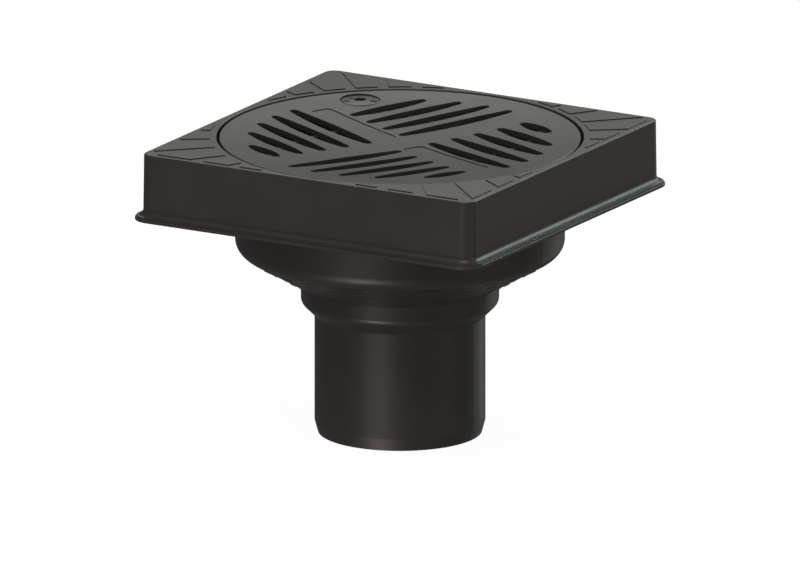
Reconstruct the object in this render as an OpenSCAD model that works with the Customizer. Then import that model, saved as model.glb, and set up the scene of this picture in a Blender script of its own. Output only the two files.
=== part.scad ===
// Yard gully with a lockable round grating, a silt bucket and a lift-out odour trap.
// Millimetres. Origin: centre of the outlet spigot's end. +Z is up, X and Y run along the frame's sides.

/* [Frame] */
// Length of each side of the square top
frame_side = 245; // [242:0.5:260]
// Height from the flange's underside to the top face
frame_h = 43.7; // [42:0.1:60]
// Radius of the top's corners in plan
frame_corner_r = 7.6; // [5:0.1:10]
// Radius of the top's outer edge
frame_edge_r = 0.9; // [0.6:0.1:2]
// Wall thickness of the frame's moulding
frame_wall = 3; // [2.4:0.1:3.2]
// How far the skirt leans out at its foot
frame_draft = 0.5; // [0:0.1:1]
// How far the flange stands out from the skirt
flange_w = 5.4; // [4.6:0.1:9]
// Thickness of the flange
flange_t = 3.2; // [2.6:0.1:4]
// Width of the ledge along the flange's edge
ledge_w = 1; // [0.5:0.1:1]
// Radius between the skirt and the flange
flange_fillet = 4; // [2:0.1:4]
// Thickness of each stiffening rib under the top
frame_rib_t = 2.5; // [1.5:0.1:4]
// Height of the raised corner pads
pad_h = 0.6; // [0.3:0.1:1.5]
// Angle that one corner pad takes
pad_angle = 6.7; // [4:0.1:8]
// Space between the pads and the top's outer edge
pad_margin = 4.2; // [3:0.1:5]

/* [Grating] */
// Outside diameter of the grating
grating_d = 233; // [230:0.5:234]
// Gap all round between the grating and the frame
grating_gap = 1.5; // [1:0.1:2]
// Depth of the grating's seat below the frame's top
grating_h = 16.7; // [15:0.1:17]
// Thickness of the grating's plate
grating_t = 4; // [3:0.1:5]
// Depth of the dish at its centre
dish_depth = 4.3; // [2:0.1:6]
// How far the grating's rim lies below the frame's top
rim_sunk = 0.4; // [0:0.1:1]
// Thickness of the ribs between the slots
grating_rib_t = 3; // [2:0.1:4]
// Width of the rim that bears on the frame
seat_w = 4.5; // [4:0.1:5]
// Turn of the slot pattern from the frame's sides
pattern_turn = -25; // [-45:1:45]

/* [Slots] */
// Width of a slot at its middle
slot_w = 10.8; // [8:0.1:12]
// Width of a slot at its ends
slot_end_w = 6; // [4:0.1:7]
// Distance from slot to slot in a group
slot_pitch = 18; // [16:0.1:18.4]
// Distance from the pattern's axis to the first slot
slot_first = 16; // [15:0.1:17]
// Distance from the pattern's axis to a slot's inner end
slot_inner = 10.5; // [9:0.1:12]
// Radius of the circle that the slots' outer ends touch
slot_reach = 100.5; // [98:0.1:102]
// Number of slots in a full group
slot_count = 5; // [3:1:5]
// Thickness of the web across each slot
web_t = 3; // [2:0.1:5]
// Depth of the webs below the surface
web_drop = 3.2; // [1:0.1:5]
// Length of each of the two bare name panels
panel_l = 78; // [50:1:82]
// Width of each panel
panel_w = 15.6; // [8:0.1:17]
// Depth of the panels
panel_depth = 0.5; // [0.3:0.1:1]

/* [Lock] */
// Distance of the lock's axis from the grating's edge
lock_edge = 17; // [16.6:0.1:18.5]
// Direction of the lock, towards a corner of the frame
lock_angle = 135; // [130:1:140]
// Diameter of the lock's head
lock_head_d = 25.2; // [22:0.1:26]
// Diameter of the lock's stem
lock_stem_d = 14; // [12:0.1:15]
// Width across the flats of the lock's square end
lock_square = 9; // [8:0.1:9.4]
// Reach of the cam's finger from the lock's axis
cam_reach = 18; // [17:0.1:18.4]
// Width of the cam's finger
cam_w = 10; // [8:0.1:12]
// Thickness of the cam
cam_t = 4; // [3:0.1:4.6]

/* [Body] */
// Outside diameter of the bowl
bowl_d = 212.2; // [211:0.2:218]
// Outside diameter of the collar
collar_d = 127.6; // [124:0.2:132]
// Outside diameter of the outlet spigot
spigot_d = 110; // [108:0.1:111]
// Wall thickness of the body
body_wall = 3.2; // [2.8:0.1:3.4]
// Height from the spigot's end to the foot of the shoulder cone
spigot_l = 78; // [70:1:120]
// Height from the foot of the bowl's cone to the spigot's foot of cone
collar_h = 20; // [18:0.5:26]
// Height from the foot of the bowl's cone to the frame's flange
bowl_h = 53.6; // [52:0.2:70]
// Slope of the bowl's cone from level
cone_slope = 30; // [26:1:31]
// Radius between the bowl and its cone
bowl_fillet = 10; // [6:0.5:11]
// Radius between the collar and its cone
collar_fillet = 5; // [3:0.5:6]
// Length of the lead-in chamfer on the spigot
chamfer_l = 7.9; // [4:0.1:12]
// Angle of the lead-in chamfer from the spigot's axis
chamfer_angle = 15.4; // [10:0.1:18]

/* [Bucket and trap] */
// Wall thickness of the bucket, the trap tube and the cup
insert_wall = 2; // [1.6:0.1:2.4]
// Number of slots round the bucket
bucket_slots = 24; // [8:1:30]
// Width of each slot in the bucket
bucket_slot_w = 4; // [2:0.1:6]
// Thickness of the bucket's bail
bail_t = 5; // [4:0.1:6]
// Inside diameter of the dip tube
dip_d = 52; // [44:0.5:54]
// Inside diameter of the trap's cup
cup_d = 80; // [76:0.5:82]
// Depth of the water seal
seal_depth = 50; // [40:1:52]
// Height of the bucket's cone above the body's
bucket_clear = 11.2; // [8:0.1:13]

/* [Hidden] */
$fn = 96;

// Clearances
seat_gap = 0.1;      // between two flat faces, one resting on the other
plug_gap = 0.3;      // round a piece pushed or dropped into another
run_gap = 0.05;      // round a pin or stem that turns in its hole
pocket_gap = 0.4;    // round the lock's head; twice as much round the bucket in its neck
cut = 1;             // how far a cutter passes the face it cuts

// Heights
collar_z = spigot_l + collar_h;          // foot of the bowl's cone
flange_z = collar_z + bowl_h;            // flange's underside
top_z = flange_z + frame_h;              // frame's top face
seat_z = top_z - grating_h - seat_gap;   // seat for the grating's rim
shelf_t = frame_wall;
shelf_up = 2.7;                          // shelf above the flange's inside
shelf_z = flange_z + frame_wall + shelf_up;   // shelf that carries the bucket
body_top = shelf_z - shelf_t - seat_gap;

// Radii
opening_r = grating_d / 2 + grating_gap;
well_r = opening_r - seat_w;             // wall below the grating's seat
body_bore = bowl_d / 2 - body_wall;
neck_r = body_bore - plug_gap;
neck_bore = neck_r - frame_wall;
neck_l = 14;                             // how far the neck plugs into the body
neck_foot = shelf_z - shelf_t - neck_l;
groove_up = 3;                           // seal's groove above the neck's foot
frame_seal_d = 1.8;
trap_seal_d = 2;
top_t = frame_wall + 0.5;                // thickness of the frame's top
corner_line = frame_side / 2 - frame_corner_r;
flange_edge_r = 0.5;
ledge_drop = 1;                          // ledge below the flange's top
ledge_edge_r = 0.3;
opening_edge_r = 0.6;
rib_turn = 28;                           // stiffening ribs, from the frame's sides
pad_step = 10;                           // angle from pad to pad
pad_first = 2;                           // steps of the first and last pad of a corner
pad_last = 7;

// Height that a wall's thickness adds where a cone of cone_slope turns up into a wall, per mm of wall
cone_rise = 1 / cos(cone_slope) - tan(cone_slope);

// Grating
dish_rings = 8;                          // straight steps of the dished surface
rim_edge_r = 0.8;
rim_t = seat_w - plug_gap;               // wall under the grating's rim
panel_gap = 2;                           // from the slots' inner ends to a panel
panel_corner_r = 4;
tongue_w = 20;
lock_group = 1;                          // group whose last place the lock takes

// Lock, from its head down
lock_r = grating_d / 2 - lock_edge;
function dish_z(r) = top_z - rim_sunk - dish_depth * (1 - pow(2 * r / grating_d, 2));
lock_rise = 0.5;                         // head's middle above the grating's surface
lock_head_t = 7.2;
lock_rim_r = 0.5;
lock_flat_r = 6;
lock_slope_h = 0.8;                      // head's fall from its flat middle to its rim
lock_boss_t = 3;
key_depth = 6.5;
key_r = 3.6;                             // key socket: middle, and the lobes round it
key_lobe_r = 1.1;
key_lobes = 6;
cam_hub_r = lock_square * 0.95;
cam_lead = 1.5;
lock_top = dish_z(lock_r) + lock_rise;
lock_rim_z = lock_top - lock_slope_h;
lock_floor = lock_top - lock_head_t - seat_gap;
cam_top = seat_z - frame_wall - plug_gap;
window_h = cam_t + 4;
window_w = 2 * cam_reach;
screw_d = 4;
screw_head_h = 2.4;
screw_head_r = 0.8;
screw_slot_w = 1;
screw_slot_t = 1.4;
washer_t = 1.2;
screw_hole_l = 12;
ring_d = 1.7;                            // cord of the ring under the head
ring_r = 9.8;

// Bucket
bucket_lip_t = 2.4;
bucket_lip_gap = 2;
bucket_r = neck_bore - 2 * pocket_gap;   // outside, at the lip
bucket_draft = 4;
// Where the bucket's wall turns into its cone
bucket_foot_z = collar_z + (bucket_r - bucket_draft - collar_d / 2) * tan(cone_slope)
    + body_wall * cone_rise + bucket_clear;
bucket_floor_r = 60;
bucket_floor_fillet = 3;
bucket_foot_fillet = 4;
bucket_floor_z = bucket_foot_z - (bucket_r - bucket_draft - bucket_floor_r) * tan(cone_slope);
bucket_slot_up = 3;
bucket_slot_z = bucket_foot_z + bucket_slot_up;
bucket_slot_h = 12;
bail_drop = 5;                           // bail's pins below the shelf
bail_z = shelf_z - bail_drop;
bail_inset = 10.8;
bail_r = bucket_r - bail_inset;          // middle of the bail's bow
bail_pin_d = 5;
bail_pin_inset = 1;
bail_ear_r = 6;
bail_ear_x = bail_r + bail_t / 2 + 2 * plug_gap;
// Droop at which the middle of the bail lies just off the bucket's cone
bail_rest = asin(((bail_z - bucket_floor_z - insert_wall) * cos(cone_slope)
    + (bucket_floor_r - insert_wall * tan(cone_slope / 2)) * sin(cone_slope)
    - bail_t / 2 - 2 * plug_gap) / bail_r) - cone_slope;
bail_grip_w = 10;
bail_grip_r = 1.5;
bail_grip_angle = 40;

// Trap
seat_cone_z = spigot_l + (1 / cos(45) - 1) * body_wall;   // inner edge of the collar's cone
spigot_bore = spigot_d / 2 - body_wall;
collar_bore = collar_d / 2 - body_wall;
trap_r = collar_bore - plug_gap;
trap_foot_z = seat_cone_z + collar_bore - spigot_bore + plug_gap;
trap_rim_h = 8;
trap_rim_r = 0.8;
trap_lead = 1;                           // straight foot of the rim below the seal's cone
trap_plate_t = 2.5;
trap_plate_fillet = 3;
mouth_r = 1.6;
trap_top = trap_foot_z + trap_rim_h;
cup_drop = 1;                            // cup's rim below the foot of the collar's cone
cup_top = spigot_l - cup_drop;
cup_corner_r = 8;
dip_end = cup_top - seal_depth;
cup_floor_gap = 12;
fin_count = 4;
fin_t = 2;
fin_lip = 2;                             // how far a fin's shoulder passes the tube or the cup's rim
fin_up = 6;                              // fins' foot above the tube's end
fin_rise = 12;                           // and the height of their slope
bead_h = 1.6;
bead_w = 1.4;
bead_drop = 7;
bead_bite = 0.5;                         // how far the bead's root sinks into the cup's wall
trap_seal_up = 2;
grip_h = 10;
grip_t = 6;
grip_bar = 4;
grip_r = 4;

function unit(v) = v / norm(v);
// Length that a rounding of radius r takes from each side of corner b
function cut_back(a, b, c, r) = r / tan(acos(unit(a - b) * unit(c - b)) / 2);
function arc_centre(a, b, c, r) =
    let(u = unit(a - b), v = unit(c - b))
    b + unit(u + v) * r / sqrt((1 - u * v) / 2);
function is_outer(a, b, c) = (b[0] - a[0]) * (c[1] - b[1]) - (b[1] - a[1]) * (c[0] - b[0]) > 0;

// Outline through points [x, y] or [x, y, radius], listed anticlockwise
module outline(points) {
    n = len(points);
    corners = [for (i = [0 : n - 1]) let(p = points[i], a = points[(i + n - 1) % n], c = points[(i + 1) % n])
        [[a[0], a[1]], [p[0], p[1]], [c[0], c[1]], len(p) > 2 ? p[2] : 0]];
    difference() {
        union() {
            polygon([for (k = corners) each k[3] == 0 ? [k[1]] :
                let(d = cut_back(k[0], k[1], k[2], k[3]))
                [k[1] + unit(k[0] - k[1]) * d, k[1] + unit(k[2] - k[1]) * d]]);
            for (k = corners) if (k[3] > 0 && is_outer(k[0], k[1], k[2]))
                translate(arc_centre(k[0], k[1], k[2], k[3])) circle(k[3]);
        }
        for (k = corners) if (k[3] > 0 && !is_outer(k[0], k[1], k[2]))
            translate(arc_centre(k[0], k[1], k[2], k[3])) circle(k[3]);
    }
}

module rounded_rect(l, w, r) {
    square([l, w - 2 * r], center = true);
    square([l - 2 * r, w], center = true);
    for (x = [-1, 1], y = [-1, 1]) translate([x * (l / 2 - r), y * (w / 2 - r)]) circle(r);
}

// ---- Frame ----

// Section of the skirt, its flange and the strip of the top beside it, from the corner's centre line
module skirt_section() {
    foot = frame_corner_r + frame_draft;
    edge = foot + flange_w;
    ledge_z = flange_z + flange_t - ledge_drop;
    fillet = min(flange_fillet, flange_w - ledge_w - ledge_edge_r);
    outline([[0, top_z - top_t], [frame_corner_r - frame_wall, top_z - top_t], [foot - frame_wall, flange_z],
        [edge, flange_z, flange_edge_r], [edge, ledge_z, flange_edge_r], [edge - ledge_w, ledge_z],
        [edge - ledge_w, flange_z + flange_t, ledge_edge_r], [foot, flange_z + flange_t, fillet],
        [frame_corner_r, top_z, frame_edge_r], [0, top_z]]);
}

module skirt() {
    for (k = [0 : 3]) rotate(90 * k) translate([corner_line, corner_line, 0]) {
        rotate_extrude(angle = 90) skirt_section();
        rotate([90, 0, 0]) linear_extrude(2 * corner_line) skirt_section();
    }
    translate([-corner_line, -corner_line, top_z - top_t]) cube([2 * corner_line, 2 * corner_line, top_t]);
}

// Well under the grating: seat, wall, shelf for the bucket and neck for the body
module well() {
    rotate_extrude() difference() {
        outline([[neck_bore, neck_foot], [neck_r, neck_foot], [neck_r, shelf_z - shelf_t],
            [well_r + frame_wall, shelf_z - shelf_t], [well_r + frame_wall, seat_z - frame_wall],
            [opening_r + frame_wall, seat_z - frame_wall], [opening_r + frame_wall, top_z - cut],
            [well_r, top_z - cut], [well_r, shelf_z], [neck_bore, shelf_z]]);
        translate([neck_r - frame_seal_d, neck_foot + groove_up])
            square([frame_seal_d + cut, frame_seal_d + 2 * seat_gap]);
    }
}

// Cutter for the opening, with the rounded edge at the top
module opening() {
    rotate_extrude() outline([[0, seat_z], [opening_r, seat_z], [opening_r, top_z, opening_edge_r],
        [opening_r + 2 * opening_edge_r, top_z], [opening_r + 2 * opening_edge_r, top_z + cut],
        [0, top_z + cut]]);
}

module frame_ribs() {
    difference() {
        intersection() {
            translate([0, 0, flange_z + 2 * flange_t]) linear_extrude(frame_h - 2 * flange_t - top_t / 2)
                square(frame_side - frame_wall, center = true);
            for (k = [0 : 3], a = [rib_turn, 90 - rib_turn]) rotate(90 * k + a)
                translate([0, -frame_rib_t / 2, flange_z]) cube([frame_side, frame_rib_t, frame_h]);
        }
        translate([0, 0, flange_z]) cylinder(r = well_r + frame_wall / 2, h = frame_h);
    }
}

// Window in the well's wall, below the seat, for the cam and for the grating's tongue
module window() {
    translate([well_r - cut, -window_w / 2, seat_z - frame_wall - window_h])
        cube([lock_r + cam_reach + cut - well_r + cut, window_w, window_h]);
}

// Raised pads round the opening, three pairs in each corner
module corner_pads() {
    translate([0, 0, top_z - cut]) linear_extrude(pad_h + cut) intersection() {
        difference() {
            square(frame_side - 2 * pad_margin, center = true);
            circle(opening_r + pad_margin);
        }
        for (k = [0 : 3], i = [pad_first : pad_last]) rotate(90 * k + pad_step * i)
            polygon([[0, 0], frame_side * [1, -tan(pad_angle / 2)], frame_side * [1, tan(pad_angle / 2)]]);
    }
}

module frame() color("#5f605b") difference() {
    union() {
        skirt();
        well();
        frame_ribs();
        corner_pads();
    }
    opening();
    for (side = [0, 180]) rotate(lock_angle + side) window();
}

// ---- Grating ----

// Everything below the dished surface, lowered by drop, out to radius r and down to z = foot
module dish(drop, r, foot, edge = 0) {
    step = r / dish_rings;
    rotate_extrude() outline(concat([[0, foot], [r, foot], [r, dish_z(r) - drop, edge]],
        [for (i = [dish_rings - 1 : -1 : 0]) [i * step, dish_z(i * step) - drop]]));
}

function slot_c(i) = slot_first + i * slot_pitch;
function slot_end(i) = sqrt(pow(slot_reach, 2) - pow(slot_c(i) + slot_end_w / 2, 2));

// A slot with bowed sides and round ends, its middle at the origin
module slot_shape(l) {
    half = (l - slot_end_w) / 2;
    bow = (slot_w - slot_end_w) / 2;
    r = (pow(half, 2) + pow(bow, 2)) / (2 * bow);
    tuck = slot_end_w * bow / half;      // keeps the bowed part's corners inside the round ends
    intersection() {
        square([2 * (half + tuck), slot_w + cut], center = true);
        translate([0, r - slot_w / 2]) circle(r);
        translate([0, slot_w / 2 - r]) circle(r);
    }
    for (x = [-half, half]) translate([x, 0]) circle(d = slot_end_w);
}

// Places its children at every slot: four groups, each turned a quarter from the last.
// The lock takes one place.
module at_slots() {
    for (g = [0 : 3], i = [0 : slot_count - 1]) if (g != lock_group || i < slot_count - 1) {
        $slot_l = slot_end(i) - slot_inner;
        rotate(pattern_turn + 90 * g) translate([(slot_end(i) + slot_inner) / 2, slot_c(i), 0]) children();
    }
}

module slots() {
    translate([0, 0, seat_z]) linear_extrude(grating_h + cut) at_slots() slot_shape($slot_l);
}

module webs() {
    at_slots() translate([-web_t / 2, -slot_pitch / 2, seat_z + seat_gap])
        cube([web_t, slot_pitch, grating_h]);
}

module grating_ribs() {
    start = slot_first - slot_pitch / 2;
    for (g = [0 : 3], i = [0 : slot_count]) rotate(pattern_turn + 90 * g)
        translate([start - grating_rib_t / 2, slot_c(i - 0.5) - grating_rib_t / 2, seat_z])
            cube([grating_d / 2, grating_rib_t, grating_h]);
}

module at_lock() rotate(lock_angle) translate([lock_r, 0, 0]) children();

module lock_boss() at_lock() {
    boss_r = lock_head_d / 2 + pocket_gap + lock_boss_t;
    translate([0, 0, lock_floor - lock_boss_t])
        cylinder(r = boss_r, h = lock_rim_z - lock_floor + lock_boss_t - cut);
    translate([0, 0, cam_top + plug_gap])
        cylinder(r = lock_stem_d / 2 + lock_boss_t, h = lock_floor - cam_top - cut);
}

module lock_pocket() at_lock() {
    translate([0, 0, lock_floor]) cylinder(r = lock_head_d / 2 + pocket_gap, h = top_z - lock_floor + cut);
    translate([0, 0, cam_top - cut]) cylinder(r = lock_stem_d / 2 + run_gap, h = top_z - cam_top);
}

// Tongue opposite the lock, which hooks into its own window under the seat
module tongue() rotate(lock_angle + 180) {
    stalk = well_r - 2 * frame_wall - plug_gap;
    translate([stalk - cam_t, -tongue_w / 2, cam_top - cam_t]) {
        cube([lock_r + cam_reach - stalk + cam_t, tongue_w, cam_t]);
        cube([2 * cam_t, tongue_w, dish_z(stalk) - cam_top + cam_t - grating_t / 2]);
    }
}

module name_panels() {
    panel_x = slot_inner + panel_gap + panel_l / 2;
    intersection() {
        translate([0, 0, seat_z]) linear_extrude(grating_h + cut) rotate(pattern_turn)
            for (x = [-panel_x, panel_x]) translate([x, 0]) rounded_rect(panel_l, panel_w, panel_corner_r);
        difference() {
            translate([0, 0, seat_z]) cylinder(r = grating_d / 2, h = grating_h + cut);
            dish(panel_depth, grating_d / 2, seat_z - cut);
        }
    }
}

module grating() color("#67685f") difference() {
    foot = seat_z + seat_gap;
    union() {
        difference() {
            dish(0, grating_d / 2, foot, rim_edge_r);
            difference() {
                dish(grating_t, grating_d / 2 - rim_t, foot - cut);
                grating_ribs();
            }
            slots();
        }
        intersection() {
            dish(web_drop, grating_d / 2 - cut, foot);
            webs();
        }
        lock_boss();
        tongue();
    }
    lock_pocket();
    name_panels();
}

// ---- Lock ----

module key_socket() {
    circle(key_r);
    for (i = [0 : key_lobes - 1]) rotate(360 / key_lobes * i) translate([key_r, 0]) circle(key_lobe_r);
}

module lock_bolt() color("#55564f") at_lock() difference() {
    stem_l = lock_floor + seat_gap - cam_top;
    union() {
        translate([0, 0, lock_top - lock_head_t]) rotate_extrude()
            outline([[0, 0], [lock_head_d / 2, 0], [lock_head_d / 2, lock_head_t - lock_slope_h, lock_rim_r],
                [lock_flat_r, lock_head_t], [0, lock_head_t]]);
        translate([0, 0, cam_top + seat_gap]) cylinder(d = lock_stem_d, h = stem_l);
        translate([-lock_square / 2, -lock_square / 2, cam_top - cam_t + seat_gap])
            cube([lock_square, lock_square, cam_t + cut]);
    }
    translate([0, 0, lock_top - key_depth]) linear_extrude(key_depth + cut) key_socket();
    translate([0, 0, cam_top - cam_t - cut]) cylinder(d = screw_d + 2 * run_gap, h = screw_hole_l + cut);
    translate([0, 0, lock_floor]) rotate_extrude() translate([ring_r - ring_d / 2 - seat_gap, 0])
        square([ring_d + 2 * seat_gap, ring_d + seat_gap]);
}

module lock_ring() color("#1d1d1d") at_lock() translate([0, 0, lock_floor + ring_d / 2 + seat_gap / 2])
    rotate_extrude() translate([ring_r, 0]) circle(d = ring_d);

module lock_cam() color("#4a4b46") at_lock() difference() {
    hole = lock_square + 2 * seat_gap;
    translate([0, 0, cam_top - cam_t]) union() {
        cylinder(r = cam_hub_r, h = cam_t);
        translate([0, -cam_w / 2, 0]) cube([cam_reach, cam_w, cam_t]);
    }
    translate([-hole / 2, -hole / 2, cam_top - cam_t - cut]) cube([hole, hole, cam_t + 2 * cut]);
    for (side = [-1, 1]) translate([lock_stem_d / 2 + cam_lead, side * cam_w / 2, cam_top])
        rotate([45, 0, 0]) translate([0, -cam_lead / 2, -cam_lead / 2])
            cube([cam_reach, cam_lead, cam_lead]);
}

module lock_washer() color("silver") at_lock() translate([0, 0, cam_top - cam_t - washer_t - seat_gap])
    difference() {
        cylinder(d = lock_stem_d, h = washer_t);
        translate([0, 0, -cut]) cylinder(d = screw_d + pocket_gap, h = washer_t + 2 * cut);
    }

module lock_screw() color("silver") at_lock() {
    head_top = cam_top - cam_t - washer_t - 2 * seat_gap;
    difference() {
        translate([0, 0, head_top - screw_head_h]) rotate_extrude()
            outline([[0, 0], [screw_d, 0, screw_head_r], [screw_d, screw_head_h], [0, screw_head_h]]);
        for (a = [0, 90]) rotate(a)
            translate([-screw_d / 2, -screw_slot_w / 2, head_top - screw_head_h - cut])
                cube([screw_d, screw_slot_w, cut + screw_slot_t]);
    }
    translate([0, 0, head_top - screw_head_h / 4]) cylinder(d = screw_d, h = screw_hole_l - cut);
}

// ---- Body ----

module body() color("#34322f") rotate_extrude() difference() {
    collar_foot = spigot_l + (collar_d - spigot_d) / 2;
    bowl_corner = collar_z + (bowl_d - collar_d) / 2 * tan(cone_slope);
    rise = body_wall * cone_rise;
    tip = spigot_d / 2 - chamfer_l * tan(chamfer_angle);
    outline([[0, 0], [tip, 0], [spigot_d / 2, chamfer_l], [spigot_d / 2, spigot_l],
        [collar_d / 2, collar_foot, collar_fillet], [collar_d / 2, collar_z],
        [bowl_d / 2, bowl_corner, bowl_fillet], [bowl_d / 2, body_top], [0, body_top]]);
    outline([[0, -cut], [spigot_bore, -cut], [spigot_bore, seat_cone_z],
        [collar_bore, seat_cone_z + collar_bore - spigot_bore], [collar_bore, collar_z + rise],
        [body_bore, bowl_corner + rise, bowl_fillet - body_wall], [body_bore, body_top + cut],
        [0, body_top + cut]]);
}

module frame_seal() color("#1d1d1d") rotate_extrude()
    translate([neck_r - frame_seal_d / 2, neck_foot + groove_up + seat_gap + frame_seal_d / 2])
        circle(d = frame_seal_d - seat_gap);

// ---- Silt bucket ----

// Half section of the bucket, set in by a wall's thickness, up to z = top
module bucket_section(inset, top) {
    outline([[0, bucket_floor_z + inset],
        [bucket_floor_r - inset * tan(cone_slope / 2), bucket_floor_z + inset, bucket_floor_fillet],
        [bucket_r - bucket_draft - inset, bucket_foot_z + inset * cone_rise, bucket_foot_fillet],
        [bucket_r - inset, top], [0, top]]);
}

module silt_bucket() color("#2c2c2a") difference() {
    lip = shelf_z + seat_gap;
    union() {
        rotate_extrude() bucket_section(0, shelf_z);
        translate([0, 0, lip]) cylinder(r = well_r - bucket_lip_gap, h = bucket_lip_t);
        translate([0, 0, shelf_z - cut]) cylinder(r = bucket_r, h = cut + seat_gap + bucket_lip_t);
    }
    difference() {
        rotate_extrude() bucket_section(insert_wall, lip + bucket_lip_t + cut);
        for (side = [0, 180]) rotate(side) translate([bail_ear_x, 0, bail_z]) rotate([0, 90, 0])
            cylinder(r = bail_ear_r, h = bucket_r - bail_ear_x);
    }
    for (i = [0 : bucket_slots - 1]) rotate(360 / bucket_slots * (i + 0.5))
        translate([bucket_floor_r, -bucket_slot_w / 2, bucket_slot_z])
            cube([bucket_r, bucket_slot_w, bucket_slot_h]);
    translate([-bucket_r - cut, 0, bail_z]) rotate([0, 90, 0])
        cylinder(d = bail_pin_d + 2 * run_gap, h = 2 * bucket_r + 2 * cut);
}

module bucket_bail() color("#34322f") translate([0, 0, bail_z]) rotate([bail_rest, 0, 0]) {
    rotate([0, 0, 180]) rotate_extrude(angle = 180) translate([bail_r, 0]) circle(d = bail_t);
    rotate([0, 0, 270 - bail_grip_angle / 2]) rotate_extrude(angle = bail_grip_angle)
        translate([bail_r - bail_grip_w / 2, 0]) rounded_rect(bail_grip_w, bail_t, bail_grip_r);
    for (side = [0, 180]) rotate(side) translate([bail_r, 0, 0]) rotate([0, 90, 0])
        cylinder(d = bail_pin_d, h = bucket_r - bail_r - bail_pin_inset);
}

// ---- Odour trap ----

module fin() {
    cup_r = cup_d / 2 - plug_gap;
    notch = cup_top - bead_drop - seat_gap;
    root = dip_d / 2 + insert_wall / 2;
    shoulder = cup_r + insert_wall + fin_lip;
    rotate([90, 0, 0]) translate([0, 0, -fin_t / 2]) linear_extrude(fin_t)
        outline([[root, dip_end + fin_up], [root + insert_wall / 2 + fin_lip, dip_end + fin_up],
            [cup_r, dip_end + fin_up + fin_rise], [cup_r, notch], [cup_r - bead_w, notch],
            [cup_r - bead_w, notch + bead_h + 2 * seat_gap], [cup_r, notch + bead_h + 2 * seat_gap],
            [cup_r, cup_top + seat_gap], [shoulder, cup_top + seat_gap],
            [shoulder, trap_top - trap_plate_t / 2], [root, trap_top - trap_plate_t / 2]]);
}

module trap_tube() color("#3a3b38") {
    rim_bore = trap_r - insert_wall - trap_seal_d;
    tube_r = dip_d / 2;
    rotate_extrude() difference() {
        outline([[tube_r, dip_end], [tube_r + insert_wall, dip_end],
            [tube_r + insert_wall, trap_top - trap_plate_t, trap_plate_fillet],
            [rim_bore, trap_top - trap_plate_t], [rim_bore, trap_foot_z - trap_lead],
            [trap_r - trap_lead, trap_foot_z - trap_lead], [trap_r, trap_foot_z],
            [trap_r, trap_top, trap_rim_r], [tube_r, trap_top, mouth_r]]);
        translate([trap_r - trap_seal_d, trap_foot_z + trap_seal_up])
            square([trap_seal_d + cut, trap_seal_d + 2 * seat_gap]);
    }
    for (i = [0 : fin_count - 1]) rotate(360 / fin_count * (i + 0.5)) fin();
    translate([0, grip_t / 2, trap_top - trap_plate_t / 2]) rotate([90, 0, 0])
        linear_extrude(grip_t) difference() {
            rounded_rect(2 * tube_r + 4 * grip_t, 2 * grip_h, grip_r);
            translate([0, -grip_h]) square([2 * tube_r + 5 * grip_t, 2 * grip_h], center = true);
            rounded_rect(2 * (tube_r - trap_lead), 2 * (grip_h - grip_bar), grip_r - trap_lead);
        }
}

module trap_cup() color("#3f403c") rotate_extrude() {
    floor_z = dip_end - cup_floor_gap;
    r = cup_d / 2;
    difference() {
        outline([[0, floor_z - insert_wall], [r + insert_wall, floor_z - insert_wall, cup_corner_r],
            [r + insert_wall, cup_top], [0, cup_top]]);
        outline([[0, floor_z], [r, floor_z, cup_corner_r - insert_wall], [r, cup_top + cut],
            [0, cup_top + cut]]);
    }
    bead_z = cup_top - bead_drop;
    translate([r - bead_w + plug_gap, bead_z]) square([bead_w - plug_gap + bead_bite, bead_h]);
}

module trap_seal() color("#1d1d1d") rotate_extrude()
    translate([trap_r - trap_seal_d / 2, trap_foot_z + trap_seal_up + seat_gap + trap_seal_d / 2])
        circle(d = trap_seal_d - seat_gap);

frame();
grating();
lock_bolt();
lock_ring();
lock_cam();
lock_washer();
lock_screw();
body();
frame_seal();
silt_bucket();
bucket_bail();
trap_tube();
trap_cup();
trap_seal();
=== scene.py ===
"""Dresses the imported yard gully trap: a finish for each solid, the small moulded marks, light and camera.

Everything is in metres in the part's own frame: the spigot's end stands on z = 0 and the gully's axis is x = y = 0.
"""

import logging
import math
from dataclasses import dataclass
from enum import Enum
from typing import Any

import bmesh
import bpy
from mathutils import Matrix, Vector


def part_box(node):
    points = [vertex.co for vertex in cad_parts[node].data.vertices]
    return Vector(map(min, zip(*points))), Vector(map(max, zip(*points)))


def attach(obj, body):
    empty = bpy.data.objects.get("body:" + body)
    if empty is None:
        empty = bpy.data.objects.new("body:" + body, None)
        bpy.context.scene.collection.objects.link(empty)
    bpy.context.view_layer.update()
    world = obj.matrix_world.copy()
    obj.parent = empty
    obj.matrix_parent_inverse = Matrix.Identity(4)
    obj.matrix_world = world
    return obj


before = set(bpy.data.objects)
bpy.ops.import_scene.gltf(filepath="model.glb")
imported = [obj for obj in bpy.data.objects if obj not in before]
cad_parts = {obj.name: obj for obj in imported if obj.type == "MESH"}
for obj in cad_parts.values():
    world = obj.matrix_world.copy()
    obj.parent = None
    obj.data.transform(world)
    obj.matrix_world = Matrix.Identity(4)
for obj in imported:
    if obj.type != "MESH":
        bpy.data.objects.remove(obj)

MM = 0.001
NOISE_LOW, NOISE_HIGH = 0.3, 0.7  # nearly all values of a noise texture lie between these
log = logging.getLogger("gully")

Colour = tuple[float, float, float, float]


def linear(code: str) -> Colour:
    """Turns an sRGB hex colour into a linear one.

    Args:
        code: Six hex digits.

    Returns:
        The linear red, green and blue, and full opacity.
    """
    parts = [int(code[i : i + 2], 16) / 255 for i in (0, 2, 4)]
    r, g, b = (c / 12.92 if c <= 0.04045 else ((c + 0.055) / 1.055) ** 2.4 for c in parts)
    return r, g, b, 1.0


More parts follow.
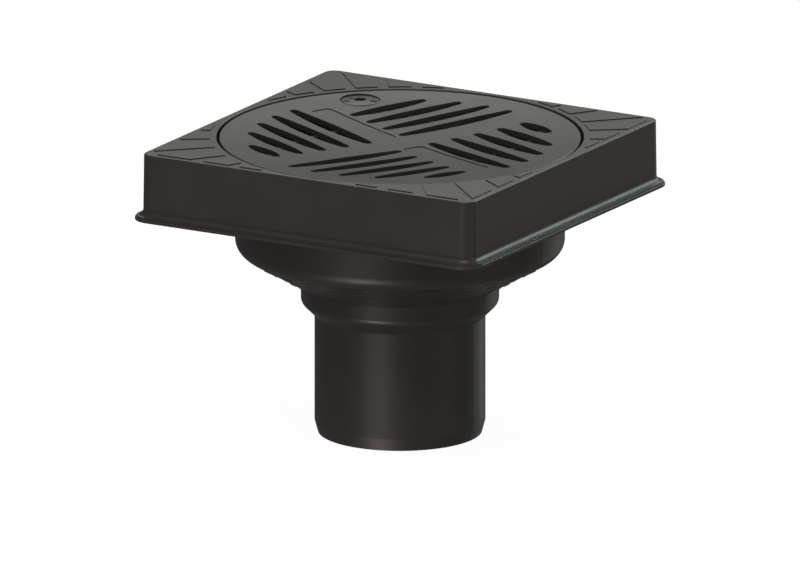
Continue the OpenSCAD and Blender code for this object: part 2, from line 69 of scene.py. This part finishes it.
def towards(azimuth_deg: float, elevation_deg: float) -> Vector:
    """Finds a direction out from the gully's axis.

    Args:
        azimuth_deg: How far round it lies, seen from above, from the front (-Y) towards the right (+X).
        elevation_deg: How far above the level it lies.

    Returns:
        The direction, one metre long.
    """
    a, e = math.radians(azimuth_deg), math.radians(elevation_deg)
    return Vector((math.sin(a) * math.cos(e), -math.cos(a) * math.cos(e), math.sin(e)))


def empty_tree(owner: bpy.types.Material | bpy.types.World) -> bpy.types.NodeTree:
    """Switches on the nodes of a material or a world, and clears them.

    Args:
        owner: The material or the world.

    Returns:
        Its tree, empty.
    """
    owner.use_nodes = True
    owner.node_tree.nodes.clear()
    return owner.node_tree


def add(tree: bpy.types.NodeTree, kind: str, inputs: dict[str | int, Any] | None = None,
        **settings: Any) -> bpy.types.Node:
    """Adds one node with its settings, its values and its links.

    Args:
        tree: The shader or geometry tree that gets the node.
        kind: The node's type name.
        inputs: Values or output sockets, by the input's name or index.
        settings: Properties of the node itself.

    Returns:
        The new node.
    """
    node = tree.nodes.new(kind)
    for name, value in settings.items():
        setattr(node, name, value)
    for key, value in (inputs or {}).items():
        socket = node.inputs[key]
        if isinstance(value, bpy.types.NodeSocket):
            tree.links.new(value, socket)
        else:
            socket.default_value = value
    return node


class Body(Enum):
    """The rigid bodies that the added pieces ride on."""

    HOUSING = "housing"
    LOCK = "lock"


class Slot(Enum):
    """Material slot names from the record; the added pieces are not put in them here."""

    LOCK = "lock_plastic"
    BODY = "body_plastic"


# ---------------------------------------------------------------- finishes


@dataclass(frozen=True)
class MouldedPlastic:
    """Black injection-moulded plastic: a dull skin with the mould's fine grain and a soft sheen at a flat glance.

    The grain is the spark-eroded texture of the mould, drawn a little coarser than life so that it shows.
    The bloom is a cloudy paler and duller look, where the melt flowed last and where the part has been handled.
    """

    name: str
    colour: str
    bloom: str
    roughness: float
    specular: float
    grain_mm: float
    grain_depth_mm: float
    edge_mm: float
    bloom_mm: float = 38.0
    shinier_by: float = 0.04
    duller_by: float = 0.05

    def material(self) -> bpy.types.Material:
        """Builds the material.

        Returns:
            A procedural material on Object coordinates.
        """
        mat = bpy.data.materials.new(self.name)
        tree = empty_tree(mat)
        place = add(tree, "ShaderNodeTexCoord").outputs["Object"]
        cloud = add(tree, "ShaderNodeTexNoise", {"Vector": place, "Scale": 1 / (self.bloom_mm * MM), "Detail": 4.0,
                                                  "Roughness": 0.6})
        paint = add(tree, "ShaderNodeMix", {"Factor": cloud.outputs["Fac"], "A": linear(self.colour),
                                            "B": linear(self.bloom)}, data_type="RGBA")
        grain = add(tree, "ShaderNodeTexNoise", {"Vector": place, "Scale": 1 / (self.grain_mm * MM), "Detail": 3.0,
                                                 "Roughness": 0.7})
        sheen = add(tree, "ShaderNodeMapRange", {"Value": cloud.outputs["Fac"], "From Min": NOISE_LOW,
                                                 "From Max": NOISE_HIGH, "To Min": self.roughness - self.shinier_by,
                                                 "To Max": self.roughness + self.duller_by})
        soft = add(tree, "ShaderNodeBevel", {"Radius": self.edge_mm * MM}, samples=4)
        bump = add(tree, "ShaderNodeBump", {"Height": grain.outputs["Fac"], "Strength": 1.0,
                                            "Distance": self.grain_depth_mm * MM, "Normal": soft.outputs["Normal"]})
        shader = add(tree, "ShaderNodeBsdfPrincipled", {"Base Color": paint.outputs["Result"],
                                                        "Roughness": sheen.outputs["Result"],
                                                        "Specular IOR Level": self.specular, "IOR": 1.49,
                                                        "Normal": bump.outputs["Normal"]})
        add(tree, "ShaderNodeOutputMaterial", {"Surface": shader.outputs["BSDF"]})
        return mat


@dataclass(frozen=True)
class SealRubber:
    """Extruded EPDM rubber: near black, matt, with a faint pale bloom along it."""

    name: str = "extruded_epdm"
    colour: str = "141414"
    bloom: str = "242422"
    roughness: float = 0.75
    bloom_mm: float = 9.0
    skin_mm: float = 0.6
    skin_depth_mm: float = 0.02

    def material(self) -> bpy.types.Material:
        """Builds the material.

        Returns:
            A procedural material on Object coordinates.
        """
        mat = bpy.data.materials.new(self.name)
        tree = empty_tree(mat)
        place = add(tree, "ShaderNodeTexCoord").outputs["Object"]
        cloud = add(tree, "ShaderNodeTexNoise", {"Vector": place, "Scale": 1 / (self.bloom_mm * MM), "Detail": 3.0})
        paint = add(tree, "ShaderNodeMix", {"Factor": cloud.outputs["Fac"], "A": linear(self.colour),
                                            "B": linear(self.bloom)}, data_type="RGBA")
        skin = add(tree, "ShaderNodeTexNoise", {"Vector": place, "Scale": 1 / (self.skin_mm * MM), "Detail": 2.0})
        bump = add(tree, "ShaderNodeBump", {"Height": skin.outputs["Fac"], "Distance": self.skin_depth_mm * MM})
        shader = add(tree, "ShaderNodeBsdfPrincipled", {"Base Color": paint.outputs["Result"],
                                                        "Roughness": self.roughness, "IOR": 1.52,
                                                        "Normal": bump.outputs["Normal"]})
        add(tree, "ShaderNodeOutputMaterial", {"Surface": shader.outputs["BSDF"]})
        return mat


@dataclass(frozen=True)
class ZincPlate:
    """Bright zinc-plated steel: bluish silver with a faint spangle and fine rolling marks."""

    name: str = "zinc_plated_steel"
    colour: str = "b9bec2"
    dull: str = "8f9598"
    spangle_mm: float = 1.6
    wear_mm: float = 0.8
    shiniest: float = 0.22
    dullest: float = 0.45

    def material(self) -> bpy.types.Material:
        """Builds the material.

        Returns:
            A procedural material on Object coordinates.
        """
        mat = bpy.data.materials.new(self.name)
        tree = empty_tree(mat)
        place = add(tree, "ShaderNodeTexCoord").outputs["Object"]
        spangle = add(tree, "ShaderNodeTexVoronoi", {"Vector": place, "Scale": 1 / (self.spangle_mm * MM)})
        paint = add(tree, "ShaderNodeMix", {"Factor": spangle.outputs["Color"], "A": linear(self.colour),
                                            "B": linear(self.dull)}, data_type="RGBA")
        wear = add(tree, "ShaderNodeTexNoise", {"Vector": place, "Scale": 1 / (self.wear_mm * MM), "Detail": 3.0})
        rough = add(tree, "ShaderNodeMapRange", {"Value": wear.outputs["Fac"], "To Min": self.shiniest,
                                                 "To Max": self.dullest})
        shader = add(tree, "ShaderNodeBsdfPrincipled", {"Base Color": paint.outputs["Result"], "Metallic": 1.0,
                                                        "Roughness": rough.outputs["Result"]})
        add(tree, "ShaderNodeOutputMaterial", {"Surface": shader.outputs["BSDF"]})
        return mat


# ---------------------------------------------------------------- helpers for meshes


def dress(node: str, mat: bpy.types.Material) -> None:
    """Gives a solid of the model its finish.

    Args:
        node: The solid's name.
        mat: Its material.
    """
    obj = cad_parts[node]
    if not obj.material_slots:
        obj.data.materials.append(mat)
    for held in obj.material_slots:
        held.material = mat
    log.info("dressed %s in %s", node, mat.name)


def place_piece(name: str, mesh: bpy.types.Mesh, mat: bpy.types.Material, body: Body) -> None:
    """Puts a finished mesh in the scene as a piece of the object.

    Args:
        name: The piece's name.
        mesh: Its mesh, in the part's frame.
        mat: Its material.
        body: The body that it rides on.
    """
    mesh.name = name
    mesh.materials.clear()
    mesh.materials.append(mat)
    obj = bpy.data.objects.new(name, mesh)
    bpy.context.scene.collection.objects.link(obj)
    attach(obj, body.value)
    log.info("piece %s: %d faces, rides on %s", name, len(mesh.polygons), body.value)


def run_tree(tree: bpy.types.GeometryNodeTree, values: dict[str, Any]) -> bpy.types.Mesh:
    """Runs a geometry tree and hands back its result as a plain mesh.

    Args:
        tree: The tree, which ends in realised geometry with its material set.
        values: The tree's inputs by name.

    Returns:
        The evaluated mesh.
    """
    carrier = bpy.data.objects.new("carrier", bpy.data.meshes.new("carrier"))
    bpy.context.scene.collection.objects.link(carrier)
    modifier = carrier.modifiers.new("nodes", "NODES")
    modifier.node_group = tree
    for item in tree.interface.items_tree:
        if item.item_type == "SOCKET" and item.in_out == "INPUT" and item.name in values:
            modifier[item.identifier] = values[item.name]
    bpy.context.view_layer.update()
    held = carrier.evaluated_get(bpy.context.evaluated_depsgraph_get())
    mesh = bpy.data.meshes.new_from_object(held)
    carrier.modifiers.clear()
    bpy.data.objects.remove(carrier)
    return mesh


# ---------------------------------------------------------------- sub-assemblies


@dataclass
class GullyBody:
    """The moulded body: a bowl on a cone, a collar and the spigot, with keying marks round the cone's underside.

    The marks are short raised bars in staggered rows, which hold the gully in its bed of concrete. The rows are given
    by their radii. The cone's foot is given by its radius and its height.
    """

    finish: MouldedPlastic
    rows_mm: tuple[float, ...] = (98.0, 88.5, 79.0, 69.5)
    marks_a_row: int = 30
    mark_length_mm: float = 8.0
    mark_width_mm: float = 1.3
    mark_height_mm: float = 0.4
    mark_end_width: float = 0.2
    points_along: int = 7
    points_round: int = 8
    cone_foot_mm: tuple[float, float] = (63.8, 98.0)
    cone_slope_deg: float = 30.0

    def mark_tree(self) -> bpy.types.GeometryNodeTree:
        """Builds the tree that rings one row of bars round the cone.

        Returns:
            The tree, with the row's sizes, its turn and its material as inputs.
        """
        tree = bpy.data.node_groups.new("keying_marks", "GeometryNodeTree")
        face = tree.interface
        for name, kind in (("Count", "NodeSocketInt"), ("Radius", "NodeSocketFloat"), ("Height", "NodeSocketFloat"),
                           ("Length", "NodeSocketFloat"), ("Width", "NodeSocketFloat"), ("Rise", "NodeSocketFloat"),
                           ("Slope", "NodeSocketFloat"), ("Turn", "NodeSocketFloat"),
                           ("Finish", "NodeSocketMaterial")):
            face.new_socket(name, in_out="INPUT", socket_type=kind)
        face.new_socket("Geometry", in_out="OUTPUT", socket_type="NodeSocketGeometry")
        given = add(tree, "NodeGroupInput").outputs
        # One bar: a line along Y, thick in the middle and tapered at its ends, flattened to a low ridge.
        half = add(tree, "ShaderNodeMath", {0: given["Length"], 1: 0.5}, operation="MULTIPLY").outputs[0]
        back = add(tree, "ShaderNodeMath", {0: half, 1: -1.0}, operation="MULTIPLY").outputs[0]
        start = add(tree, "ShaderNodeCombineXYZ", {"Y": back}).outputs[0]
        end = add(tree, "ShaderNodeCombineXYZ", {"Y": half}).outputs[0]
        line = add(tree, "GeometryNodeCurvePrimitiveLine", {"Start": start, "End": end})
        fine = add(tree, "GeometryNodeResampleCurve", {"Curve": line.outputs[0], "Count": self.points_along})
        along = add(tree, "GeometryNodeSplineParameter").outputs["Factor"]
        away = add(tree, "ShaderNodeMath", {0: along, 1: 2.0, 2: -1.0}, operation="MULTIPLY_ADD").outputs[0]
        steep = add(tree, "ShaderNodeMath", {0: away, 1: 4.0}, operation="POWER").outputs[0]
        taper = add(tree, "ShaderNodeMath", {0: steep, 1: self.mark_end_width - 1.0, 2: 1.0},
                    operation="MULTIPLY_ADD").outputs[0]
        thick = add(tree, "GeometryNodeSetCurveRadius", {"Curve": fine.outputs[0], "Radius": taper})
        girth = add(tree, "ShaderNodeMath", {0: given["Width"], 1: 0.5}, operation="MULTIPLY").outputs[0]
        ring = add(tree, "GeometryNodeCurvePrimitiveCircle", {"Resolution": self.points_round, "Radius": girth})
        bar = add(tree, "GeometryNodeCurveToMesh", {"Curve": thick.outputs[0], "Profile Curve": ring.outputs[0],
                                                    "Fill Caps": True})
        low = add(tree, "ShaderNodeMath", {0: given["Rise"], 1: girth}, operation="DIVIDE").outputs[0]
        flat = add(tree, "ShaderNodeCombineXYZ", {"X": 1.0, "Y": 1.0, "Z": low}).outputs[0]
        tilt = add(tree, "ShaderNodeCombineXYZ", {"Y": given["Slope"]}).outputs[0]
        out = add(tree, "ShaderNodeCombineXYZ", {"X": given["Radius"], "Z": given["Height"]}).outputs[0]
        squat = add(tree, "GeometryNodeTransform", {"Geometry": bar.outputs[0], "Scale": flat})
        laid = add(tree, "GeometryNodeTransform", {"Geometry": squat.outputs[0], "Rotation": tilt,
                                                   "Translation": out})
        # The ring of bars: every copy stands on the axis and is turned by its share of the circle.
        dots = add(tree, "GeometryNodeMeshLine", {"Count": given["Count"], "Offset": (0.0, 0.0, 0.0)})
        number = add(tree, "GeometryNodeInputIndex").outputs[0]
        share = add(tree, "ShaderNodeMath", {0: math.tau, 1: given["Count"]}, operation="DIVIDE").outputs[0]
        angle = add(tree, "ShaderNodeMath", {0: number, 1: share, 2: given["Turn"]},
                    operation="MULTIPLY_ADD").outputs[0]
        spin = add(tree, "ShaderNodeCombineXYZ", {"Z": angle}).outputs[0]
        copies = add(tree, "GeometryNodeInstanceOnPoints", {"Points": dots.outputs[0], "Instance": laid.outputs[0],
                                                            "Rotation": spin})
        real = add(tree, "GeometryNodeRealizeInstances", {0: copies.outputs[0]})
        done = add(tree, "GeometryNodeSetMaterial", {"Geometry": real.outputs[0], "Material": given["Finish"]})
        add(tree, "NodeGroupOutput", {0: done.outputs[0]})
        return tree

    def marks(self, mat: bpy.types.Material) -> bpy.types.Mesh:
        """Rings every row of bars and joins them.

        Args:
            mat: The body's material.

        Returns:
            One mesh with all the bars.
        """
        tree = self.mark_tree()
        joined = bmesh.new()
        foot_r, foot_z = self.cone_foot_mm
        slope = math.radians(self.cone_slope_deg)
        half_step = math.pi / self.marks_a_row
        for row, radius in enumerate(self.rows_mm):
            mesh = run_tree(tree, {
                "Count": self.marks_a_row, "Radius": radius * MM,
                "Height": (foot_z + (radius - foot_r) * math.tan(slope)) * MM,
                "Length": self.mark_length_mm * radius / self.rows_mm[0] * MM, "Width": self.mark_width_mm * MM,
                "Rise": self.mark_height_mm * MM, "Slope": -slope, "Turn": (row % 2) * half_step, "Finish": mat})
            joined.from_mesh(mesh)
            bpy.data.meshes.remove(mesh)
        whole = bpy.data.meshes.new("keying_marks")
        joined.to_mesh(whole)
        joined.free()
        whole.shade_smooth()
        return whole

    def build(self) -> None:
        """Dresses the body and lays its keying marks."""
        mat = self.finish.material()
        dress("body", mat)
        place_piece("body_keying_marks", self.marks(mat), mat, Body.HOUSING)


@dataclass
class FrameAndGrating:
    """The square frame with its slotted round grating, both moulded with a grained walking face."""

    frame_finish: MouldedPlastic
    grating_finish: MouldedPlastic

    def build(self) -> None:
        """Dresses the frame and the grating."""
        dress("frame", self.frame_finish.material())
        dress("grating", self.grating_finish.material())


class Sign(Enum):
    """The two signs on the lock's head, each with its direction from the key socket in degrees."""

    SHUT = 30.0
    OPEN = 210.0


@dataclass
class Lock:
    """The quarter-turn lock: a low round head with a key socket, its ring, cam, washer and screw.

    The head falls from its flat middle to its rim, and the two signs lie on that slope, which is given by its run and
    its fall. A sign's case has a height, its shackle a reach and the open shackle a swing to the side, all three as
    shares of the sign's size.
    """

    finish: MouldedPlastic
    rubber: SealRubber = SealRubber()
    metal: ZincPlate = ZincPlate()
    flat_mm: float = 6.0
    slope_mm: tuple[float, float] = (6.6, 0.8)
    sign_out_mm: float = 8.8
    sign_turn_deg: float = 30.0
    sign_size_mm: float = 4.6
    sign_rise_mm: float = 0.45
    case_height: float = 0.8
    case_edge_mm: float = 0.12
    shackle_mm: float = 0.9
    shackle_up_mm: float = 0.25
    shackle_reach: float = 0.31
    shackle_swing: float = 0.55
    shackle_steps: int = 10

    def centre(self) -> Vector:
        """Finds the middle of the head's top face."""
        low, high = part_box("lock_bolt")
        return Vector(((low.x + high.x) / 2, (low.y + high.y) / 2, high.z))

    def padlock(self, sign: Sign) -> bmesh.types.BMesh:
        """Models one generic padlock sign as a low relief, its case below and its shackle above.

        Args:
            sign: Whether the shackle is shut or swung to one side.

        Returns:
            The relief, in millimetres round its own middle.
        """
        shape = bmesh.new()
        size, rise = self.sign_size_mm, self.sign_rise_mm
        tall = size * self.case_height
        bmesh.ops.create_cube(shape, size=1.0)
        bmesh.ops.scale(shape, vec=(size, tall, 2 * rise), verts=shape.verts)
        bmesh.ops.translate(shape, vec=(0, -tall / 2, 0), verts=shape.verts)
        bmesh.ops.bevel(shape, geom=shape.edges[:], offset=self.case_edge_mm, segments=2, affect="EDGES")
        aside = size * self.shackle_swing if sign is Sign.OPEN else 0.0
        centre = Vector((aside, self.shackle_up_mm, 0))
        rings: list[list[bmesh.types.BMVert]] = []
        for i in range(self.shackle_steps + 1):
            turn = math.pi * i / self.shackle_steps
            out = Vector((math.cos(turn), math.sin(turn), 0))
            middle = centre + out * size * self.shackle_reach
            side, top = out * self.shackle_mm / 2, Vector((0, 0, rise))
            rings.append([shape.verts.new(middle + offset) for offset in (side, top, -side, -top)])
        for first, second in zip(rings, rings[1:]):
            for i, j in ((0, 1), (1, 2), (2, 3), (3, 0)):
                shape.faces.new((first[i], first[j], second[j], second[i]))
        shape.faces.new(rings[0][::-1])
        shape.faces.new(rings[-1])
        bmesh.ops.recalc_face_normals(shape, faces=shape.faces)
        return shape

    def signs(self) -> bpy.types.Mesh:
        """Sets both signs on the head's slope, at opposite sides of the key socket.

        Returns:
            One mesh with both signs.
        """
        whole = bmesh.new()
        middle = self.centre()
        run, fall = self.slope_mm
        drop = Vector((0, 0, -(self.sign_out_mm - self.flat_mm) * fall / run))
        turned = Matrix.Rotation(math.radians(self.sign_turn_deg), 4, "Z")
        for sign in Sign:
            shape = self.padlock(sign)
            mesh = bpy.data.meshes.new("sign")
            shape.to_mesh(mesh)
            shape.free()
            angle = math.radians(sign.value)
            way = Vector((math.cos(angle), math.sin(angle), 0))
            tilted = Matrix.Rotation(math.atan2(fall, run), 4, Vector((-way.y, way.x, 0)))
            seat = middle + (way * self.sign_out_mm + drop) * MM
            mesh.transform(Matrix.Translation(seat) @ tilted @ turned @ Matrix.Scale(MM, 4))
            whole.from_mesh(mesh)
            bpy.data.meshes.remove(mesh)
        mesh = bpy.data.meshes.new("lock_signs")
        whole.to_mesh(mesh)
        whole.free()
        return mesh

    def build(self) -> None:
        """Dresses the lock's pieces and sets its signs."""
        mat = self.finish.material()
        for node in ("lock_bolt", "lock_cam"):
            dress(node, mat)
        dress("lock_ring", self.rubber.material())
        metal = self.metal.material()
        for node in ("lock_washer", "lock_screw"):
            dress(node, metal)
        place_piece("lock_signs", self.signs(), mat, Body.LOCK)


@dataclass
class SiltAndTrap:
    """The lift-out inside: silt bucket with its bail, dip tube with its cup, and the two seals."""

    finish: MouldedPlastic
    rubber: SealRubber

    def build(self) -> None:
        """Dresses the inner pieces."""
        mat = self.finish.material()
        for node in ("silt_bucket", "bucket_bail", "trap_tube", "trap_cup"):
            dress(node, mat)
        seal = self.rubber.material()
        for node in ("frame_seal", "trap_seal"):
            dress(node, seal)


# ---------------------------------------------------------------- studio


@dataclass
class SoftBox:
    """One square studio lamp that looks at a point of the gully.

    Distance and size are in metres, and the power is in watts.
    """

    name: str
    azimuth_deg: float
    elevation_deg: float
    distance: float
    size: float
    power: float
    aim: Vector
    tint: str = "ffffff"
    lights_matt: bool = True

    def build(self) -> None:
        """Hangs the lamp."""
        lamp = bpy.data.lights.new(self.name, "AREA")
        lamp.shape = "SQUARE"
        lamp.size = self.size
        lamp.energy = self.power
        lamp.color = linear(self.tint)[:3]
        obj = bpy.data.objects.new(self.name, lamp)
        way = towards(self.azimuth_deg, self.elevation_deg)
        obj.location = self.aim + way * self.distance
        obj.rotation_euler = way.to_track_quat("Z", "Y").to_euler()
        obj.visible_diffuse = self.lights_matt
        bpy.context.scene.collection.objects.link(obj)


@dataclass
class Studio:
    """A pale floor, a white surround, soft lamps and a distant camera without perspective.

    The camera's distance, its clips and the floor's reach are in metres.
    """

    azimuth_deg: float = 30.0
    elevation_deg: float = 15.0
    distance: float = 2.0
    clip: tuple[float, float] = (0.01, 20.0)
    width_mm: float = 514.3
    aim_height_mm: float = 97.7
    world_light: float = 0.36
    shown_to_gloss: float = 0.12
    floor_reach: float = 6.0
    floor_glow: float = 0.93
    floor_white: float = 1.03
    floor_colour: str = "f4f4f4"

    def aim(self) -> Vector:
        """The point of the axis that the camera looks at."""
        return Vector((0, 0, self.aim_height_mm * MM))

    def floor(self) -> None:
        """Lays a plain floor that shows white but keeps a soft shadow."""
        mesh = bpy.data.meshes.new("floor")
        far = self.floor_reach
        mesh.from_pydata([(-far, -far, 0), (far, -far, 0), (far, far, 0), (-far, far, 0)], [], [(0, 1, 2, 3)])
        mat = bpy.data.materials.new("studio_floor")
        tree = empty_tree(mat)
        plain = add(tree, "ShaderNodeBsdfDiffuse", {"Color": linear(self.floor_colour)})
        glow = add(tree, "ShaderNodeEmission", {"Color": linear("ffffff"), "Strength": self.floor_white})
        ray = add(tree, "ShaderNodeLightPath")
        share = add(tree, "ShaderNodeMath", {0: ray.outputs["Is Camera Ray"], 1: self.floor_glow},
                    operation="MULTIPLY")
        both = add(tree, "ShaderNodeMixShader", {0: share.outputs[0], 1: plain.outputs[0], 2: glow.outputs[0]})
        # Seen from below, the floor is clear, so that the gully's underside can be looked at.
        side = add(tree, "ShaderNodeNewGeometry").outputs["Backfacing"]
        clear = add(tree, "ShaderNodeBsdfTransparent")
        sheet = add(tree, "ShaderNodeMixShader", {0: side, 1: both.outputs[0], 2: clear.outputs[0]})
        add(tree, "ShaderNodeOutputMaterial", {"Surface": sheet.outputs[0]})
        mesh.materials.append(mat)
        obj = bpy.data.objects.new("studio_floor", mesh)
        bpy.context.scene.collection.objects.link(obj)
        obj.visible_glossy = False
        obj.visible_shadow = False
        obj.visible_diffuse = False

    def world(self) -> None:
        """Sets the surround: white to the camera and, dimmer, to gloss; soft light to the rest."""
        world = bpy.data.worlds.new("studio")
        bpy.context.scene.world = world
        tree = empty_tree(world)
        ray = add(tree, "ShaderNodeLightPath").outputs
        seen = add(tree, "ShaderNodeMath", {0: ray["Is Camera Ray"], 1: ray["Is Transmission Ray"]},
                   operation="MAXIMUM").outputs[0]
        gloss = add(tree, "ShaderNodeMix", {"Factor": ray["Is Glossy Ray"], "A": self.world_light,
                                            "B": self.shown_to_gloss}, data_type="FLOAT").outputs[0]
        level = add(tree, "ShaderNodeMix", {"Factor": seen, "A": gloss, "B": 1.0}, data_type="FLOAT").outputs[0]
        back = add(tree, "ShaderNodeBackground", {"Color": linear("ffffff"), "Strength": level})
        add(tree, "ShaderNodeOutputWorld", {"Surface": back.outputs[0]})

    def camera(self) -> None:
        """Sets the camera at its angle."""
        data = bpy.data.cameras.new("camera")
        data.type = "ORTHO"
        data.ortho_scale = self.width_mm * MM
        data.clip_start, data.clip_end = self.clip
        obj = bpy.data.objects.new("camera", data)
        back = towards(self.azimuth_deg, self.elevation_deg)
        obj.location = self.aim() + back * self.distance
        obj.rotation_euler = (-back).to_track_quat("-Z", "Y").to_euler()
        bpy.context.scene.collection.objects.link(obj)
        bpy.context.scene.camera = obj

    def lamps(self) -> list[SoftBox]:
        """Lists the soft lamps.

        Returns:
            The lamps, which all look at the camera's aim.
        """
        middle = self.aim()
        return [
            SoftBox("back", 201.0, 41.0, 5.0, 3.2, 73.0, middle, "fbfff4"),
            SoftBox("back_low", 167.0, -14.0, 4.0, 1.8, 5.0, middle, "fffdf2"),
            SoftBox("edge", 161.0, 23.0, 4.0, 1.5, 60.0, middle, "e4fff8", False),
            SoftBox("top", 14.0, 62.0, 2.0, 1.2, 22.0, middle, "fdfff8"),
            SoftBox("right", 95.0, 8.0, 4.0, 2.0, 18.0, middle, "fff6df"),
            SoftBox("front_low", 0.0, -35.0, 1.4, 0.5, 7.7, middle, "ffefe9"),
        ]

    def build(self) -> None:
        """Sets up the studio."""
        bpy.context.scene.view_settings.view_transform = "Standard"
        self.camera()
        self.world()
        self.floor()
        for lamp in self.lamps():
            lamp.build()
        log.info("studio: camera at %.0f degrees round and %.0f up", self.azimuth_deg, self.elevation_deg)


FRAME_PLASTIC = MouldedPlastic(
    name="moulded_polypropylene_grained", colour="2d2928", bloom="332f2e", roughness=0.4, specular=0.35,
    grain_mm=2.4, grain_depth_mm=0.035, edge_mm=0.2)
GRATING_PLASTIC = MouldedPlastic(
    name="moulded_polypropylene_walking_face", colour="2e2d2b", bloom="343330", roughness=0.355, specular=0.31,
    grain_mm=0.6, grain_depth_mm=0.04, edge_mm=0.3)
BODY_PLASTIC = MouldedPlastic(
    name="moulded_polypropylene_smooth", colour="2a2827", bloom="2f2c2b", roughness=0.4, specular=0.35,
    grain_mm=1.2, grain_depth_mm=0.01, edge_mm=0.5)
LOCK_PLASTIC = MouldedPlastic(
    name="moulded_polyamide", colour="2b2b2b", bloom="333332", roughness=0.42, specular=0.45,
    grain_mm=0.5, grain_depth_mm=0.02, edge_mm=0.25)
INSERT_PLASTIC = MouldedPlastic(
    name="moulded_polypropylene_insert", colour="222221", bloom="282826", roughness=0.38, specular=0.4,
    grain_mm=1.0, grain_depth_mm=0.01, edge_mm=0.4)


def main() -> None:
    """Builds the dressed gully and its studio."""
    logging.basicConfig(level=logging.INFO, format="%(message)s")
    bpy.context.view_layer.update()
    Studio().build()
    FrameAndGrating(FRAME_PLASTIC, GRATING_PLASTIC).build()
    Lock(LOCK_PLASTIC).build()
    GullyBody(BODY_PLASTIC).build()
    SiltAndTrap(INSERT_PLASTIC, SealRubber()).build()
    bpy.context.view_layer.update()


if __name__ == "__main__":
    main()
